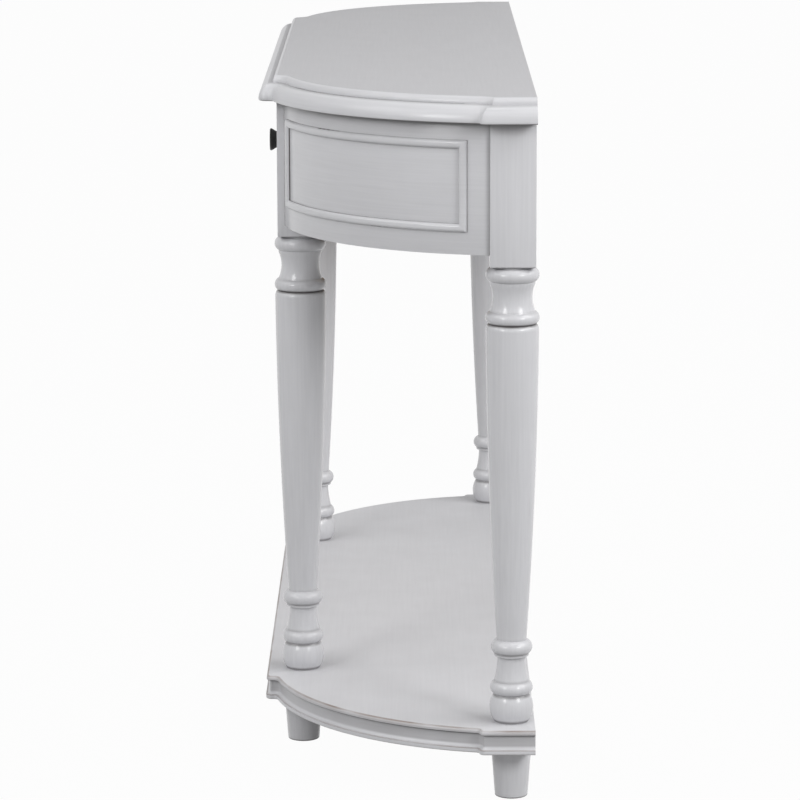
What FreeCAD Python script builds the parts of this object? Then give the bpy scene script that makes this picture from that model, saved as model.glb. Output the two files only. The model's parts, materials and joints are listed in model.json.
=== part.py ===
import FreeCAD, Part
import math
import os
import Sketcher

# Driving sizes of the table, in millimetres
SIZES = {
    # whole table
    "top_length": 1220,
    "top_depth": 301,
    "table_height": 765,
    # plan of the two boards: straight breaks in front and at the ends, quarter curves between
    "front_step": 8,
    "end_step": 4,
    "front_break_margin": 18.5,
    "end_break_margin": 11,
    "front_corner_round": 8.5,
    "front_corner_hollow": 6.5,
    "end_corner_round": 6,
    "end_corner_hollow": 4.5,
    "corner_core": 40,
    "corner_flat": 0.5,
    # moulded edge of the top
    "top_thick": 27.5,
    "nose_tuck": 2.5,
    "nose_round": 17,
    "nose_reach": 15,
    "lip_ledge": 1,
    "lip_round": 7,
    # lower shelf and its lipped edge
    "shelf_thick": 27,
    "shelf_front_step": 5.5,
    "shelf_corner_round": 7,
    "shelf_corner_hollow": 5.5,
    "shelf_base_round": 1.5,
    "shelf_low_lip": 5,
    "shelf_band_depth": 4.5,
    "shelf_high_lip": 5.5,
    "shelf_lip_tuck": 1.5,
    "shelf_lip_inset": 3.5,
    "shelf_lip_bow": 1.7,
    # leg places and square blocks
    "block_side": 49,
    "block_height": 154,
    "block_ease": 0.8,
    "back_setback": 0.5,
    "front_overhang": 19.5,
    "back_leg_inset": 45,
    "front_leg_out": 20,
    # turned foot of the leg, from the shelf up
    "ball_seat_radius": 18.5,
    "ball_radius": 23.8,
    "ball_height": 31,
    "ball_groove_radius": 19.2,
    "ankle_low_radius": 23.2,
    "ankle_low_height": 14,
    "ankle_flare_radius": 19,
    "ankle_neck_radius": 15.1,
    "ankle_neck_height": 27,
    "ankle_neck_hollow": 0.8,
    "ankle_cove_height": 1.5,
    "ankle_fillet_radius": 18.7,
    "ankle_fillet_height": 2.5,
    "ankle_high_radius": 22.5,
    "ankle_high_height": 15.2,
    # long taper of the leg
    "taper_foot_radius": 16.2,
    "taper_bow": 2.4,
    "shoulder_radius": 28.6,
    "shoulder_height": 6.5,
    "shoulder_round": 0.85,
    # turned collar of the leg, from the shoulder up to the block
    "collar_groove_radius": 25.5,
    "collar_low_radius": 29,
    "collar_low_height": 13.3,
    "collar_flare_radius": 24.6,
    "collar_neck_radius": 21.3,
    "collar_neck_height": 29.9,
    "collar_fillet_radius": 24.4,
    "collar_fillet_height": 2.2,
    "collar_high_radius": 28.8,
    "collar_high_height": 15.3,
    "collar_top_radius": 21.5,
    "collar_gap": 2,
    # tapered feet under the shelf
    "foot_height": 56.5,
    "foot_top_radius": 22,
    "foot_tip_radius": 17.9,
    "foot_ease": 1.2,
    # aprons, rails and stile
    "apron_height": 141,
    "apron_inset": 16,
    "apron_thick": 20,
    "back_apron_thick": 18,
    "back_apron_setback": 4,
    "rail_setback": 6.5,
    "rail_thick": 20,
    "top_rail_height": 19,
    "low_rail_height": 24,
    "stile_wide": 24,
    # half-round panel beads
    "bead_wide": 9,
    "bead_rise": 4.2,
    "bead_round": 3.8,
    "bead_margin": 24,
    # drawers
    "reveal": 1.5,
    "drawer_front_thick": 18,
    "drawer_side_thick": 12,
    "drawer_side_height": 79,
    "drawer_back_thick": 12,
    "drawer_bottom_thick": 5,
    "bottom_lift": 10,
    "groove_depth": 6,
    "groove_gap": 0.2,
    "stop_gap": 0.5,
    # runners under the drawer sides and kickers over them
    "runner_room": 12,
    "runner_gap": 0.3,
    "guide_gap": 0.8,
    "runner_thick": 14,
    "runner_lap": 15,
    "guide_height": 30,
    "kicker_gap": 0.8,
    # blocks that hold the top and the back corners
    "cleat_thick": 22,
    "cleat_height": 32,
    "cleat_angle": 30,
    "cleat_turn": 45,
    "corner_block_reach": 40,
    "corner_block_height": 60,
    # drawer knob, a cone that flares to a flat face
    "knob_reach": 21,
    "knob_radius": 12.8,
    "knob_rim": 2,
    "knob_rim_ease": 0.7,
    "knob_cone_radius": 8,
    "knob_cone_length": 8,
    "knob_stem_radius": 5.5,
    "knob_stem_length": 5,
    "knob_base_radius": 8,
    "knob_base_thick": 2,
    # fasteners
    "drill_gap": 0.1,
    "dowel_radius": 4,
    "dowel_depth": 16,
    "dowel_inset": 35,
    "bolt_radius": 4,
    "bolt_foot_depth": 31,
    "bolt_leg_depth": 40,
    "screw_radius": 2.2,
    "screw_head_radius": 4,
    "screw_head_thick": 2.5,
    "screw_grip": 25,
    "screw_bite": 16,
    "screw_end_inset": 45,
    "knob_screw_radius": 2,
    "knob_screw_bite": 10,
}

# Two places closer than this are one place
TOUCH = 0.001

doc = FreeCAD.newDocument("demilune_table")
sheet = doc.addObject("Spreadsheet::Sheet", "Sizes")
for row, (alias, size) in enumerate(SIZES.items(), start=1):
    sheet.set(f"A{row}", alias)
    sheet.set(f"B{row}", str(size))
    sheet.setAlias(f"B{row}", alias)
doc.recompute()


def size(alias):
    """The sheet's name for one driving size."""
    return f"Sizes.{alias}"


def total(first, *aliases):
    """A place reached by adding driving sizes to another place."""
    return "(" + " + ".join([first] + [size(alias) for alias in aliases]) + ")"


def less(first, *aliases):
    """A place reached by taking driving sizes away from another place."""
    return "(" + " - ".join([first] + [size(alias) for alias in aliases]) + ")"


def value(expression):
    """What an expression comes to with the present sizes."""
    return float(sheet.evalExpression(expression))


# Places that several pieces share
HALF_LENGTH = "(Sizes.top_length / 2)"
HALF_BLOCK = "(Sizes.block_side / 2)"
REAR_OVERHANG = f"(Sizes.collar_low_radius - {HALF_BLOCK} - Sizes.back_setback)"
BACK = f"((Sizes.top_depth - {REAR_OVERHANG}) / 2)"
FRONT = less(BACK, "top_depth")
UNDERSIDE = less(size("table_height"), "top_thick")
BLOCK_BASE = less(UNDERSIDE, "block_height")
APRON_BASE = less(UNDERSIDE, "apron_height")
SHELF_TOP = total(size("foot_height"), "shelf_thick")
NOSE_RADIUS = less(size("top_depth"), "front_step")
CURVE_X = f"({less(HALF_LENGTH, 'end_step')} - {NOSE_RADIUS})"
APRON_RADIUS = less(NOSE_RADIUS, "apron_inset")
BACK_LEG_X = less(HALF_LENGTH, "back_leg_inset")
BACK_LEG_Y = f"({less(BACK, 'back_setback')} - {HALF_BLOCK})"
FRONT_LEG_X = total(CURVE_X, "front_leg_out")
FRONT_LEG_Y = f"({total(FRONT, 'front_overhang')} + {HALF_BLOCK})"
FRONT_BREAK_X = f"({total(FRONT_LEG_X, 'front_break_margin')} + {HALF_BLOCK})"
END_BREAK_Y = f"({less(BACK_LEG_Y, 'end_break_margin')} - {HALF_BLOCK})"
FRONT_BLOCK_IN = f"({FRONT_LEG_X} - {HALF_BLOCK})"
FRONT_BLOCK_OUT = f"({FRONT_LEG_X} + {HALF_BLOCK})"
BACK_BLOCK_IN = f"({BACK_LEG_X} - {HALF_BLOCK})"
BACK_BLOCK_FACE = f"({BACK_LEG_Y} - {HALF_BLOCK})"
RAIL_FACE = total(FRONT, "front_overhang", "rail_setback")
RAIL_BACK = total(RAIL_FACE, "rail_thick")
BACK_APRON_FACE = less(BACK, "back_setback", "back_apron_setback", "back_apron_thick")
OPENING_BASE = total(APRON_BASE, "low_rail_height")
OPENING_TOP = less(UNDERSIDE, "top_rail_height")
HALF_STILE = "(Sizes.stile_wide / 2)"
AXIS_TURNS = {
    "X": FreeCAD.Rotation(FreeCAD.Vector(0, 1, 0), 90),
    "Y": FreeCAD.Rotation(FreeCAD.Vector(1, 0, 0), -90),
    "Z": FreeCAD.Rotation(),
}
FACING_FRONT = FreeCAD.Rotation(FreeCAD.Vector(1, 0, 0), 90)
PLANE_TURNS = {
    "XZ": FACING_FRONT,
    "YZ": FreeCAD.Rotation(FreeCAD.Vector(1, 1, 1), 120),
}


def quarter(radius):
    """How far a quarter round of this radius bows out from its chord."""
    return f"({radius} * (1 - cos(45)))"


def named(kind, label):
    """A new object of the document with its own label."""
    piece = doc.addObject(kind, label)
    piece.Label = label
    return piece


def move(piece, x, y, z):
    """Ties the place of a piece to expressions."""
    for axis, place in zip("xyz", (x, y, z)):
        piece.setExpression(f"Placement.Base.{axis}", place)


def trace(sketch, steps):
    """Draws a closed loop: (x, y) runs straight to a point, (x, y, rise) bows to the right by rise."""
    spots = [FreeCAD.Vector(value(step[0]), value(step[1]), 0) for step in steps]
    heads = []
    limits = []
    for number, step in enumerate(steps):
        start = spots[number - 1]
        end = spots[number]
        if len(step) == 2:
            sketch.addGeometry(Part.LineSegment(start, end))
            heads.append(2)
            continue
        rise = value(step[2])
        chord = end - start
        radius = (chord.Length ** 2 + 4 * rise ** 2) / (8 * abs(rise))
        aside = FreeCAD.Vector(chord.y, -chord.x, 0).normalize()
        centre = (start + end) / 2 - aside * math.copysign(radius - abs(rise), rise)
        circle = Part.Circle(centre, FreeCAD.Vector(0, 0, 1), radius)
        ends = (start, end) if rise > 0 else (end, start)
        sketch.addGeometry(Part.ArcOfCircle(circle, *[circle.parameter(spot) for spot in ends]))
        heads.append(2 if rise > 0 else 1)
        x0, y0 = steps[number - 1][:2]
        x1, y1, bow = step
        span = f"(({x1}) - ({x0}))^2 + (({y1}) - ({y0}))^2"
        limits.append((("Radius", number, radius), f"({span} + 4 * ({bow})^2) / (8 * abs({bow}))"))
    for number, step in enumerate(steps):
        following = (number + 1) % len(steps)
        joint = ("Coincident", number, heads[number], following, 3 - heads[following])
        sketch.addConstraint(Sketcher.Constraint(*joint))
        for kind, place, spot in zip(("DistanceX", "DistanceY"), step, spots[number]):
            limits.append(((kind, -1, 1, number, heads[number], spot), place))
    for terms, expression in limits:
        index = sketch.addConstraint(Sketcher.Constraint(*terms))
        sketch.setExpression(f"Constraints[{index}]", expression)


def body_sketch(body, plane, offset, steps):
    """A closed sketch in one of the body's own planes, moved along the plane's normal."""
    support = [item for item in body.Origin.OriginFeatures if item.Role == f"{plane}_Plane"]
    sketch = body.newObject("Sketcher::SketchObject", f"{body.Name}_section")
    sketch.AttachmentSupport = [(support[0], "")]
    sketch.MapMode = "FlatFace"
    sketch.setExpression("AttachmentOffset.Base.z", offset)
    trace(sketch, steps)
    return sketch


def padded_body(label, plane, offset, steps, length):
    """A body made by padding one closed section."""
    body = named("PartDesign::Body", label)
    pad = body.newObject("PartDesign::Pad", f"{label}_pad")
    pad.Profile = body_sketch(body, plane, offset, steps)
    pad.setExpression("Length", length)
    body.Tip = pad
    return body


def turned_body(label, steps):
    """A body turned about its own upright axis from a half section of radius and height."""
    body = named("PartDesign::Body", label)
    sketch = body_sketch(body, "XZ", "0", steps)
    turning = body.newObject("PartDesign::Revolution", f"{label}_turning")
    turning.Profile = sketch
    turning.ReferenceAxis = (sketch, ["V_Axis"])
    turning.Angle = 360
    body.Tip = turning
    return body


def board(label, low, high):
    """A plain board between two corners, each three expressions."""
    piece = named("Part::Box", label)
    for side, start, end in zip(("Length", "Width", "Height"), low, high):
        piece.setExpression(side, f"({end}) - ({start})")
    move(piece, *low)
    return piece


def rod(label, axis, start, radius, length):
    """A round rod or drill that starts at a point and runs along one axis."""
    piece = named("Part::Cylinder", label)
    piece.setExpression("Radius", radius)
    piece.setExpression("Height", length)
    piece.Placement = FreeCAD.Placement(FreeCAD.Vector(), AXIS_TURNS[axis])
    move(piece, *start)
    return piece


def cut(label, blank, tools):
    """A blank with several tools taken out of it."""
    piece = named("Part::Cut", label)
    piece.Base = blank
    if len(tools) == 1:
        piece.Tool = tools[0]
        return piece
    cutters = named("Part::MultiFuse", f"{label}_cutters")
    cutters.Shapes = tools
    piece.Tool = cutters
    return piece


def mirrored(label, source):
    """The left-hand twin of a right-hand piece."""
    twin = named("Part::Mirroring", label)
    twin.Source = source
    twin.Base = FreeCAD.Vector(0, 0, 0)
    twin.Normal = FreeCAD.Vector(1, 0, 0)
    return twin


def group(label, pieces):
    """Separate solids of one kind, kept under one name."""
    bundle = named("Part::Compound", label)
    bundle.Links = pieces
    return bundle


def both_sides(piece):
    """A piece and its twin across the middle of the table."""
    return [piece, mirrored(f"{piece.Label}_twin", piece)]


# Moulded boards: the same plan for the top and the shelf, each with its own edge
def edge_section(label, plane, profile, base, left, right):
    """Section of a board between two edges, each (place, moulded or not), as a free sketch."""
    sketch = named("Sketcher::SketchObject", label)
    sketch.Placement = FreeCAD.Placement(FreeCAD.Vector(), PLANE_TURNS[plane])
    heights = [step[1] for step in profile]
    steps = []
    place, moulded = right
    for inset, height, *rise in profile if moulded else [("0", heights[0]), ("0", heights[-1])]:
        steps.append((f"{place} - {inset}", f"{base} + {height}", *rise))
    place, moulded = left
    back_down = profile[::-1] if moulded else [("0", heights[-1]), ("0", heights[0])]
    rise = []
    for inset, height, *next_rise in back_down:
        steps.append((f"{place} + {inset}", f"{base} + {height}", *rise))
        rise = next_rise
    trace(sketch, steps)
    return sketch


def extruded(label, sketch, direction, start, length):
    """A section run along one direction from a starting place."""
    bar = named("Part::Extrusion", label)
    bar.Base = sketch
    bar.DirMode = "Custom"
    bar.Dir = direction
    bar.Solid = True
    bar.setExpression("LengthFwd", length)
    axis = "x" if direction.x else "y"
    bar.setExpression(f"Placement.Base.{axis}", start)
    return bar


def quarter_turn(label, profile, base, radius, x, y):
    """A quarter turning with the moulded edge, from straight out along X round to the front."""
    sketch = named("Sketcher::SketchObject", f"{label}_rim")
    sketch.Placement = FreeCAD.Placement(FreeCAD.Vector(), PLANE_TURNS["XZ"])
    steps = [("0", f"{base} + {profile[0][1]}")]
    steps += [(f"{radius} - {inset}", f"{base} + {height}", *rise) for inset, height, *rise in profile]
    if value(steps[-1][0]) > TOUCH:
        steps.append(("0", f"{base} + {profile[-1][1]}"))
    trace(sketch, steps)
    turning = named("Part::Revolution", label)
    turning.Source = sketch
    turning.Axis = FreeCAD.Vector(0, 0, 1)
    turning.Base = FreeCAD.Vector(0, 0, 0)
    turning.Angle = -90
    turning.Solid = True
    move(turning, x, y, "0")
    return turning


def corner_box(label, corner, radius, base, top):
    """The box that takes a sharp outer corner off a board."""
    x, y = corner
    low = (f"{x} - {radius}", f"{y} - {radius}", f"{base} - {radius}")
    return board(label, low, (f"{x} + {radius}", f"{y} + {radius}", f"{top} + {radius}"))


def hollow_corner(label, profile, base, radius, centre, inward, limit):
    """The filler of an inner corner between a break and the curve, hollowed to a soft cove."""
    x, y = centre
    heights = [f"{base} + {profile[0][1]}", f"{base} + {profile[-1][1]}"]
    depth = total(radius, "corner_core")
    part_way = f"{depth} / ({NOSE_RADIUS} + {radius})"
    along_x = f"({CURVE_X} - {x}) * {part_way}"
    along_y = f"({BACK} - {y}) * {part_way}"
    across_x, across_y = (f"{step} * {depth}" for step in inward)
    wedge = padded_body(f"{label}_wedge", "XY", base, [
        (x, y),
        (f"{x} + {across_x}", f"{y} + {across_y}"),
        (f"{x} + {across_x} + {along_x}", f"{y} + {across_y} + {along_y}"),
        (f"{x} + {along_x}", f"{y} + {along_y}"),
    ], f"({heights[1]}) - ({heights[0]})")
    filler = named("Part::MultiCommon", f"{label}_filler")
    filler.Shapes = [wedge, limit]
    steps = [("0", heights[0])]
    for inset, height, *rise in profile:
        steps.append((f"{radius} + {inset}", f"{base} + {height}", *[f"-{bow}" for bow in rise]))
    cutter = turned_body(f"{label}_cutter", [*steps, ("0", heights[1])])
    move(cutter, x, y, "0")
    return cut(label, filler, [cutter])


def moulded_board(label, profile, base, front, corners, rounded):
    """Two breaks and two quarter discs as one board, with a soft double curve at each step."""

    def section(name, plane, left, right):
        """The board cut across, moulded on the left and also on the right unless that is the back."""
        return edge_section(f"{label}_{name}", plane, profile, base, (left, True), (right, right != BACK))

    ends = section("ends", "XZ", f"-{HALF_LENGTH}", HALF_LENGTH)
    sides = section("sides", "XZ", f"-{FRONT_BREAK_X}", FRONT_BREAK_X)
    nose = section("nose", "YZ", front, BACK)
    returns = section("returns", "YZ", END_BREAK_Y, BACK)

    def slab(name, across, along, reach, start):
        """A straight break: moulded at both ends and in front, plain along the back."""
        piece = named("Part::MultiCommon", f"{label}_{name}")
        piece.Shapes = [
            extruded(f"{label}_{name}_across", across, FreeCAD.Vector(0, 1, 0), start, f"{BACK} - {start}"),
            extruded(f"{label}_{name}_along", along, FreeCAD.Vector(1, 0, 0), f"-{reach}", f"2 * {reach}"),
        ]
        return piece

    blank = named("Part::MultiFuse", f"{label}_blank")
    blank.Shapes = [
        slab("front_break", sides, nose, FRONT_BREAK_X, front),
        slab("end_break", ends, returns, HALF_LENGTH, END_BREAK_Y),
        *both_sides(quarter_turn(f"{label}_curve", profile, base, NOSE_RADIUS, CURVE_X, BACK)),
    ]
    boxes = []
    softened = []
    outer_corners, inner_corners = corners
    for name, (x, y), radius in outer_corners:
        box = corner_box(f"{label}_{name}_box", (x, y), radius, base, f"{base} + {profile[-1][1]}")
        boxes += both_sides(box)
        axis = (f"({x} - {radius})", f"({y} + {radius})")
        softened += both_sides(quarter_turn(f"{label}_{name}_round", rounded(radius), base, radius, *axis))
    wide = extruded(f"{label}_front_limit", nose, FreeCAD.Vector(1, 0, 0), "0", HALF_LENGTH)
    deep = extruded(f"{label}_end_limit", ends, FreeCAD.Vector(0, 1, 0), FRONT, size("top_depth"))
    for (name, centre, radius, inward), limit in zip(inner_corners, (wide, deep)):
        hollow = hollow_corner(f"{label}_{name}_hollow", profile, base, radius, centre, inward, limit)
        softened += both_sides(hollow)
    whole = named("Part::MultiFuse", f"{label}_whole")
    whole.Shapes = [cut(f"{label}_eased", blank, boxes), *softened]
    whole.Refine = True
    return whole


END_COVE_Y = less(END_BREAK_Y, "end_corner_hollow")
END_COVE_REACH = total(NOSE_RADIUS, "end_corner_hollow")
END_COVE_X = f"({CURVE_X} + sqrt({END_COVE_REACH}^2 - ({BACK} - {END_COVE_Y})^2))"


def break_corners(front, front_round, front_hollow):
    """Outer corners as name, place, rounding, and inner ones as name, cove centre, radius, way inward."""
    cove_x = f"({FRONT_BREAK_X} + {front_hollow})"
    cove_y = f"({BACK} - sqrt(({NOSE_RADIUS} + {front_hollow})^2 - ({cove_x} - {CURVE_X})^2))"
    front_room = f"({cove_y} - {front} - Sizes.corner_flat)"
    end_room = f"({HALF_LENGTH} - {END_COVE_X} - Sizes.corner_flat)"
    outer_corners = [
        ("front_corner", (FRONT_BREAK_X, front), f"min({front_round}; {front_room})"),
        ("end_corner", (HALF_LENGTH, END_BREAK_Y), f"min({size('end_corner_round')}; {end_room})"),
    ]
    inner_corners = [
        ("front_corner", (cove_x, cove_y), front_hollow, ("-1", "0")),
        ("end_corner", (END_COVE_X, END_COVE_Y), size("end_corner_hollow"), ("0", "1")),
    ]
    return outer_corners, inner_corners


# Fasteners and the holes they need
def dowel_pair(label, axis, face):
    """A dowel across a joint face, and the drill for both of its holes."""
    pins = []
    for name, gap in ((label, "0"), (f"{label}_drill", size("drill_gap"))):
        depth = f"({size('dowel_depth')} + {gap})"
        radius = f"({size('dowel_radius')} + {gap})"
        start = [f"{place} - {depth}" if axis == turn else place for turn, place in zip("XYZ", face)]
        pins.append(rod(name, axis, start, radius, f"2 * {depth}"))
    return pins


def on_apron(known, centre):
    """The other plan distance of a point on the middle line of a curved apron."""
    return f"sqrt(({APRON_RADIUS} - Sizes.apron_thick / 2)^2 - ({known} - {centre})^2)"


LOW_DOWEL = total(APRON_BASE, "dowel_inset")
HIGH_DOWEL = less(UNDERSIDE, "dowel_inset")
RAIL_MIDDLE = f"({RAIL_FACE} + Sizes.rail_thick / 2)"
BACK_APRON_MIDDLE = f"({BACK_APRON_FACE} + Sizes.back_apron_thick / 2)"
APRON_FRONT_END_Y = f"({BACK} - {on_apron(FRONT_BLOCK_OUT, CURVE_X)})"
APRON_BACK_END_X = f"({CURVE_X} + {on_apron(BACK_BLOCK_FACE, BACK)})"
TOP_RAIL_MIDDLE = f"({UNDERSIDE} - Sizes.top_rail_height / 2)"
LOW_RAIL_MIDDLE = f"({APRON_BASE} + Sizes.low_rail_height / 2)"
dowel_sites = {
    "top_rail_dowel": ("X", (FRONT_BLOCK_IN, RAIL_MIDDLE, TOP_RAIL_MIDDLE)),
    "low_rail_dowel": ("X", (FRONT_BLOCK_IN, RAIL_MIDDLE, LOW_RAIL_MIDDLE)),
    "apron_front_low_dowel": ("X", (FRONT_BLOCK_OUT, APRON_FRONT_END_Y, LOW_DOWEL)),
    "apron_front_high_dowel": ("X", (FRONT_BLOCK_OUT, APRON_FRONT_END_Y, HIGH_DOWEL)),
    "apron_back_low_dowel": ("Y", (APRON_BACK_END_X, BACK_BLOCK_FACE, LOW_DOWEL)),
    "apron_back_high_dowel": ("Y", (APRON_BACK_END_X, BACK_BLOCK_FACE, HIGH_DOWEL)),
    "back_low_dowel": ("X", (BACK_BLOCK_IN, BACK_APRON_MIDDLE, LOW_DOWEL)),
    "back_high_dowel": ("X", (BACK_BLOCK_IN, BACK_APRON_MIDDLE, HIGH_DOWEL)),
}
dowels = []
drills = {}
for site, (axis, face) in dowel_sites.items():
    dowel, drills[site] = dowel_pair(site, axis, face)
    dowels += both_sides(dowel)
apron_dowels = group("apron_dowels", dowels)

LEG_PLACES = {"back": (BACK_LEG_X, BACK_LEG_Y), "front": (FRONT_LEG_X, FRONT_LEG_Y)}
BOLT_BASE = less(size("foot_height"), "bolt_foot_depth")
BOLT_LENGTH = "(Sizes.bolt_foot_depth + Sizes.shelf_thick + Sizes.bolt_leg_depth)"
bolts = []
bolt_drills = {}
for row, (x, y) in LEG_PLACES.items():
    bolts += both_sides(rod(f"leg_bolt_{row}", "Z", (x, y, BOLT_BASE), size("bolt_radius"), BOLT_LENGTH))
    drill_base = less(BOLT_BASE, "drill_gap")
    drill_length = f"({BOLT_LENGTH} + 2 * Sizes.drill_gap)"
    drill_radius = total(size("bolt_radius"), "drill_gap")
    bolt_drills[row] = rod(f"leg_bolt_{row}_drill", "Z", (x, y, drill_base), drill_radius, drill_length)
leg_bolts = group("leg_bolts", bolts)


# Legs: a square block over a turned shaft, drilled for the dowels and the bolt
def turned_leg(label, x, y):
    """One leg from the shelf to the underside of the top, standing on its own axis."""
    ball_top = total(SHELF_TOP, "ball_height")
    ankle_flare = total(ball_top, "ankle_low_height")
    ankle_neck = total(ankle_flare, "ankle_neck_height")
    ankle_cove = total(ankle_neck, "ankle_cove_height")
    ankle_fillet = total(ankle_cove, "ankle_fillet_height")
    taper_foot = total(ankle_fillet, "ankle_high_height")
    collar_top = less(BLOCK_BASE, "collar_gap")
    collar_fillet = less(collar_top, "collar_high_height")
    collar_neck = less(collar_fillet, "collar_fillet_height")
    collar_flare = less(collar_neck, "collar_neck_height")
    collar_groove = less(collar_flare, "collar_low_height")
    shoulder = less(collar_groove, "shoulder_height")

    def swell(widest, below, above):
        """How far a turning swells past the mean of the radii at its two ends."""
        return f"(Sizes.{widest} - (Sizes.{below} + Sizes.{above}) / 2)"

    leg = turned_body(label, [
        ("0", SHELF_TOP),
        (size("ball_seat_radius"), SHELF_TOP),
        (size("ball_groove_radius"), ball_top,
         swell("ball_radius", "ball_seat_radius", "ball_groove_radius")),
        (size("ankle_flare_radius"), ankle_flare,
         swell("ankle_low_radius", "ball_groove_radius", "ankle_flare_radius")),
        (size("ankle_neck_radius"), ankle_neck, "-Sizes.ankle_neck_hollow"),
        (size("ankle_fillet_radius"), ankle_cove),
        (size("ankle_fillet_radius"), ankle_fillet),
        (size("taper_foot_radius"), taper_foot,
         swell("ankle_high_radius", "ankle_fillet_radius", "taper_foot_radius")),
        (size("shoulder_radius"), shoulder, size("taper_bow")),
        (size("collar_groove_radius"), collar_groove, size("shoulder_round")),
        (size("collar_flare_radius"), collar_flare,
         swell("collar_low_radius", "collar_groove_radius", "collar_flare_radius")),
        (size("collar_fillet_radius"), collar_neck,
         swell("collar_neck_radius", "collar_flare_radius", "collar_fillet_radius")),
        (size("collar_fillet_radius"), collar_fillet),
        (size("collar_top_radius"), collar_top,
         swell("collar_high_radius", "collar_fillet_radius", "collar_top_radius")),
        (size("collar_top_radius"), BLOCK_BASE),
        ("0", BLOCK_BASE),
    ])
    low = f"-{HALF_BLOCK}"
    high = HALF_BLOCK
    block = leg.newObject("PartDesign::Pad", f"{label}_block")
    block.Profile = body_sketch(leg, "XY", BLOCK_BASE, [(high, low), (high, high), (low, high), (low, low)])
    block.setExpression("Length", size("block_height"))
    leg.Tip = block
    doc.recompute()
    base = value(BLOCK_BASE)
    corner = value(HALF_BLOCK) * math.sqrt(2)
    lower_edges = [
        f"Edge{number}"
        for number, edge in enumerate(block.Shape.Edges, start=1)
        if all(math.hypot(end.Z - base, math.hypot(end.X, end.Y) - corner) < TOUCH for end in edge.Vertexes)
    ]
    ease = leg.newObject("PartDesign::Chamfer", f"{label}_ease")
    ease.Base = (block, lower_edges)
    ease.setExpression("Size", size("block_ease"))
    leg.Tip = ease
    move(leg, x, y, "0")
    return leg


LEG_JOINTS = {
    "back": ["apron_back_low_dowel", "apron_back_high_dowel", "back_low_dowel", "back_high_dowel"],
    "front": ["top_rail_dowel", "low_rail_dowel", "apron_front_low_dowel", "apron_front_high_dowel"],
}
legs = []
for row, (x, y) in LEG_PLACES.items():
    blank = turned_leg(f"leg_{row}_blank", x, y)
    leg = cut(f"leg_{row}_right", blank, [drills[site] for site in LEG_JOINTS[row]] + [bolt_drills[row]])
    legs += [leg, mirrored(f"leg_{row}_left", leg)]

# Feet: short tapered turnings under the shelf, bored for the bolt
feet = []
for row, (x, y) in LEG_PLACES.items():
    foot_blank = turned_body(f"foot_{row}_blank", [
        ("0", "0"),
        (less(size("foot_tip_radius"), "foot_ease"), "0"),
        (size("foot_tip_radius"), size("foot_ease"), quarter(size("foot_ease"))),
        (size("foot_top_radius"), size("foot_height")),
        ("0", size("foot_height")),
    ])
    move(foot_blank, x, y, "0")
    foot = cut(f"foot_{row}_right", foot_blank, [bolt_drills[row]])
    feet += [foot, mirrored(f"foot_{row}_left", foot)]

# Shelf: lipped edge with a sunk band, bored where the legs stand
SHELF_PROFILE = [
    (size("shelf_base_round"), "0"),
    ("0", size("shelf_base_round"), quarter(size("shelf_base_round"))),
    ("0", size("shelf_low_lip")),
    (size("shelf_band_depth"), total(size("shelf_low_lip"), "shelf_band_depth"),
     "-" + quarter(size("shelf_band_depth"))),
    (size("shelf_band_depth"), less(size("shelf_thick"), "shelf_high_lip")),
    (size("shelf_lip_tuck"), less(size("shelf_thick"), "shelf_high_lip")),
    (size("shelf_lip_inset"), size("shelf_thick"), size("shelf_lip_bow")),
]
SHELF_FRONT = f"({less(BACK, 'shelf_front_step')} - {NOSE_RADIUS})"
shelf_breaks = break_corners(SHELF_FRONT, size("shelf_corner_round"), size("shelf_corner_hollow"))
shelf_blank = moulded_board(
    "shelf", SHELF_PROFILE, size("foot_height"), SHELF_FRONT, shelf_breaks, lambda radius: SHELF_PROFILE
)
shelf_holes = both_sides(bolt_drills["back"]) + both_sides(bolt_drills["front"])
shelf_board = cut("shelf_board", shelf_blank, shelf_holes)


# Curved end aprons, butted square against the faces of the blocks
def apron_rim(radius):
    """Where a rim of the apron meets the two blocks, and how far it bows between them."""
    at_front = f"({BACK} - sqrt({radius}^2 - ({FRONT_BLOCK_OUT} - {CURVE_X})^2))"
    at_back = f"({CURVE_X} + sqrt({radius}^2 - ({BACK} - {BACK_BLOCK_FACE})^2))"
    half_chord = f"(({at_back} - {FRONT_BLOCK_OUT})^2 + ({BACK_BLOCK_FACE} - {at_front})^2) / 4"
    return at_front, at_back, f"({radius} - sqrt({radius}^2 - {half_chord}))"


APRON_INNER = less(APRON_RADIUS, "apron_thick")
outer_front, outer_back, outer_bow = apron_rim(APRON_RADIUS)
inner_front, inner_back, inner_bow = apron_rim(APRON_INNER)
apron_blank = padded_body("end_apron_blank", "XY", APRON_BASE, [
    (FRONT_BLOCK_OUT, outer_front),
    (outer_back, BACK_BLOCK_FACE, outer_bow),
    (inner_back, BACK_BLOCK_FACE),
    (FRONT_BLOCK_OUT, inner_front, f"-{inner_bow}"),
], size("apron_height"))
end_apron = cut("end_apron_right", apron_blank, [drills[site] for site in dowel_sites if "apron" in site])
end_aprons = [end_apron, mirrored("end_apron_left", end_apron)]


# Half-round beads, mitred in fours
def rounded_strip(body, is_outer_edge):
    """Rounds the two long outer edges of a bead strip."""
    blank = body.Tip
    long_enough = 2 * value(size("bead_wide"))
    edges = [
        f"Edge{number}"
        for number, edge in enumerate(blank.Shape.Edges, start=1)
        if edge.Length > long_enough and all(is_outer_edge(end) for end in edge.Vertexes)
    ]
    rounding = body.newObject("PartDesign::Fillet", f"{body.Name}_round")
    rounding.Base = (blank, edges)
    rounding.setExpression("Radius", size("bead_round"))
    body.Tip = rounding
    return body


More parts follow.
